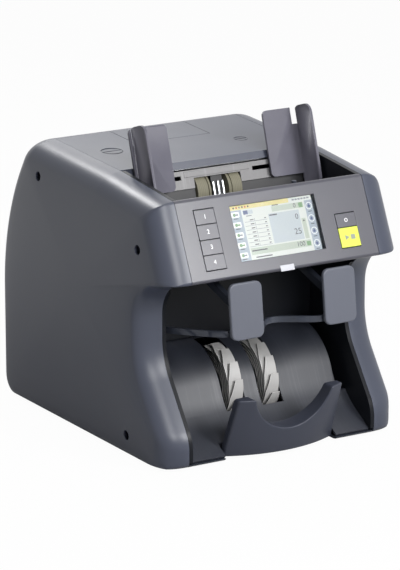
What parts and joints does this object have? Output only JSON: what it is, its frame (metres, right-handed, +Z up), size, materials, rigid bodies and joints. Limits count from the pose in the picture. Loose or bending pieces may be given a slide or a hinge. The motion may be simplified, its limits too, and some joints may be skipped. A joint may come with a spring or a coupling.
{
  "type": "banknote counter",
  "caption": "Desk-top banknote counter with a sloping top hopper, a tilted panel with a screen and keys, and an open stacker pocket with vaned wheels below.",
  "frame": {"origin": "on the surface the counter stands on, under the middle of its box", "axes": "+X to the right as seen by the user, +Y to the rear, the front panel faces -Y, +Z up"},
  "size_m": [0.2824, 0.3616, 0.3218],
  "materials": {
    "casing": "fine textured moulding, blue-grey",
    "panel": "satin paint, warm mid grey",
    "dark": "satin dark moulding",
    "stopper": "satin moulding",
    "hopper_plate": "satin light grey",
    "black": "matte black",
    "vane": "pale flexible plastic",
    "steel": "plain steel",
    "roller_rubber": "ground feed rubber",
    "foot_rubber": "black rubber",
    "belt_rubber": "black belt",
    "board": "green circuit board",
    "motor": "dark painted motor case",
    "supply": "sheet case",
    "glass": "clear window",
    "screen": "lit display",
    "start_yellow": "yellow-green keycap",
    "rocker": "dark red rocker"
  },
  "bodies": {
    "counter": {"base_tray": "dark", "left_side_cover": "casing", "right_side_cover": "casing", "top_cover": "casing", "front_panel": "panel", "rear_panel": "casing", "door_hinge_pin": "steel", "left_chassis_plate": "steel", "right_chassis_plate": "steel", "left_inner_wall": "dark", "right_inner_wall": "dark", "hopper_floor": "dark", "hopper_back_plate": "hopper_plate", "throat_plate": "black", "separator_bracket": "steel", "guide_rail": "steel", "note_guides": "dark", "image_sensors": "black", "pocket_back_wall": "dark", "stacker_cover": "dark", "front_stopper": "stopper", "gate_shaft": "steel", "display_glass": "glass", "display_module": "screen", "control_board": "board", "panel_tab": "steel", "main_motor": "motor", "drive_belts": "belt_rubber", "shaft_bearings": "steel", "stay_bars": "steel", "main_board": "board", "power_supply": "supply", "power_inlet": "black", "data_ports": "steel", "rubber_feet": "foot_rubber", "cover_screws": "steel"},
    "left_guide": {"left_guide": "panel"},
    "right_guide": {"right_guide": "panel"},
    "feed": {"feed_shaft": "steel", "feed_rollers": "roller_rubber"},
    "transport": {"transport_shaft": "steel", "transport_rollers": "roller_rubber"},
    "pinch": {"pinch_rollers": "black"},
    "stacker": {"stacker_shaft": "steel", "left_stacker_wheel": "vane", "right_stacker_wheel": "vane"},
    "motor_drive": {"motor_pulley": "steel"},
    "gate": {"gate_frame": "dark", "left_paddle": "stopper", "right_paddle": "stopper"},
    "function_key_1": {"function_key_1": "panel"},
    "function_key_2": {"function_key_2": "panel"},
    "function_key_3": {"function_key_3": "panel"},
    "function_key_4": {"function_key_4": "panel"},
    "clear_key": {"clear_key": "panel"},
    "start_key": {"start_key": "start_yellow"},
    "left_adjuster": {"left_adjuster": "casing"},
    "right_adjuster": {"right_adjuster": "casing"},
    "power_rocker": {"power_rocker": "rocker"},
    "rear_door": {"rear_door": "casing"}
  },
  "joints": [
    {"name": "left_guide_slide", "type": "slide", "parent": "counter", "child": "left_guide", "axis": [1, 0, 0], "range_m": [-0.0075, 0.034]},
    {"name": "right_guide_slide", "type": "slide", "parent": "counter", "child": "right_guide", "axis": [1, 0, 0], "range_m": [-0.042, 0]},
    {"name": "transport_spin", "type": "hinge", "parent": "counter", "child": "transport", "pos_m": [0, 0.01061, 0.153], "axis": [1, 0, 0], "continuous": true},
    {"name": "feed_spin", "type": "hinge", "parent": "counter", "child": "feed", "pos_m": [0, -0.02093, 0.241], "axis": [1, 0, 0], "continuous": true},
    {"name": "pinch_spin", "type": "hinge", "parent": "counter", "child": "pinch", "pos_m": [0, 0.03591, 0.153], "axis": [1, 0, 0], "continuous": true},
    {"name": "stacker_spin", "type": "hinge", "parent": "counter", "child": "stacker", "pos_m": [0, -0.06539, 0.05], "axis": [1, 0, 0], "continuous": true},
    {"name": "motor_spin", "type": "hinge", "parent": "counter", "child": "motor_drive", "pos_m": [0, 0.07061, 0.075], "axis": [1, 0, 0], "continuous": true},
    {"name": "gate_swing", "type": "hinge", "parent": "counter", "child": "gate", "pos_m": [0, -0.09939, 0.177], "axis": [-1, 0, 0], "range_deg": [0, 17]},
    {"name": "rear_door_hinge", "type": "hinge", "parent": "counter", "child": "rear_door", "pos_m": [0, 0.17761, 0.06675], "axis": [-1, 0, 0], "range_deg": [0, 70]},
    {"name": "function_key_1_press", "type": "slide", "parent": "counter", "child": "function_key_1", "axis": [0, 0.9076, -0.4199], "range_m": [0, 0.0008], "stiffness_N_per_m": 1200},
    {"name": "function_key_2_press", "type": "slide", "parent": "counter", "child": "function_key_2", "axis": [0, 0.9076, -0.4199], "range_m": [0, 0.0008], "stiffness_N_per_m": 1200},
    {"name": "function_key_3_press", "type": "slide", "parent": "counter", "child": "function_key_3", "axis": [0, 0.9076, -0.4199], "range_m": [0, 0.0008], "stiffness_N_per_m": 1200},
    {"name": "function_key_4_press", "type": "slide", "parent": "counter", "child": "function_key_4", "axis": [0, 0.9076, -0.4199], "range_m": [0, 0.0008], "stiffness_N_per_m": 1200},
    {"name": "clear_key_press", "type": "slide", "parent": "counter", "child": "clear_key", "axis": [0, 0.9076, -0.4199], "range_m": [0, 0.0008], "stiffness_N_per_m": 1200},
    {"name": "start_key_press", "type": "slide", "parent": "counter", "child": "start_key", "axis": [0, 0.9076, -0.4199], "range_m": [0, 0.0008], "stiffness_N_per_m": 1200},
    {"name": "left_adjuster_turn", "type": "hinge", "parent": "counter", "child": "left_adjuster", "pos_m": [-0.08, 0.03761, 0.273], "axis": [0, 0, 1], "range_deg": [-90, 90]},
    {"name": "right_adjuster_turn", "type": "hinge", "parent": "counter", "child": "right_adjuster", "pos_m": [0.062, 0.02061, 0.273], "axis": [0, 0, 1], "range_deg": [-90, 90]},
    {"name": "power_rocker_tilt", "type": "hinge", "parent": "counter", "child": "power_rocker", "pos_m": [0.08, 0.16911, 0.085], "axis": [1, 0, 0], "range_deg": [-7, 7]}
  ],
  "couplings": [
    {"joint": "feed_spin", "follows": "transport_spin", "ratio": 0.83333},
    {"joint": "pinch_spin", "follows": "transport_spin", "ratio": -1.5},
    {"joint": "stacker_spin", "follows": "transport_spin", "ratio": 0.71429},
    {"joint": "motor_spin", "follows": "transport_spin", "ratio": 1.75}
  ]
}
